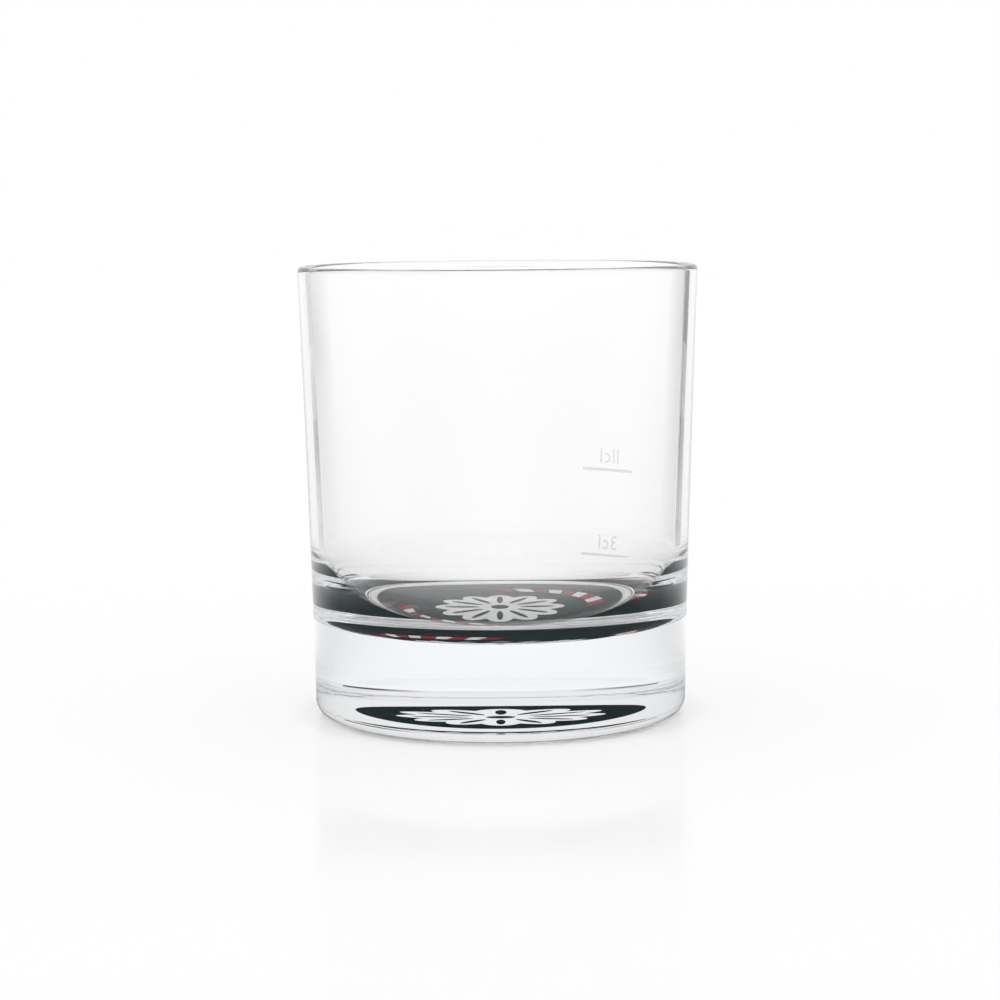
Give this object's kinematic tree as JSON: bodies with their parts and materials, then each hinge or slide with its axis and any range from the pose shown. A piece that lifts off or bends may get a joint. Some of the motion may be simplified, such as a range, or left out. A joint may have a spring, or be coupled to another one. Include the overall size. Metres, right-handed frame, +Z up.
{
  "type": "tumbler glass",
  "caption": "Clear heavy-based tumbler: slightly flared wall, rounded rim, thick base with a dark rosette print and two striped bands beneath, fill lines on the back wall.",
  "frame": {"origin": "centre of the foot ring, in the plane the glass stands on", "axes": "+Z up along the glass's axis, +Y to the back, and the fill marks are on the back wall towards +X"},
  "size_m": [0.082, 0.082, 0.0924],
  "materials": {
    "clear_glass": "clear, fire polished",
    "black_ink": "fired screen print, satin",
    "white_ink": "fired screen print, satin",
    "red_ink": "fired screen print, satin",
    "mark_ink": "fired screen print, thin"
  },
  "bodies": {
    "root": {"base_print_border": "black_ink", "base_print_ground": "black_ink", "base_print_rosette": "white_ink", "glass_body": "clear_glass", "lower_fill_label_1": "mark_ink", "lower_fill_label_2": "mark_ink", "lower_fill_label_3": "mark_ink", "lower_fill_line": "mark_ink", "stripe_red_01": "red_ink", "stripe_red_02": "red_ink", "stripe_red_03": "red_ink", "stripe_red_04": "red_ink", "stripe_red_05": "red_ink", "stripe_red_06": "red_ink", "stripe_red_07": "red_ink", "stripe_red_08": "red_ink", "stripe_red_09": "red_ink", "stripe_red_10": "red_ink", "stripe_white_01": "white_ink", "stripe_white_02": "white_ink", "stripe_white_03": "white_ink", "stripe_white_04": "white_ink", "stripe_white_05": "white_ink", "stripe_white_06": "white_ink", "stripe_white_07": "white_ink", "stripe_white_08": "white_ink", "upper_fill_label_1": "mark_ink", "upper_fill_label_2": "mark_ink", "upper_fill_label_3": "mark_ink", "upper_fill_label_4": "mark_ink", "upper_fill_line": "mark_ink"}
  },
  "joints": []
}
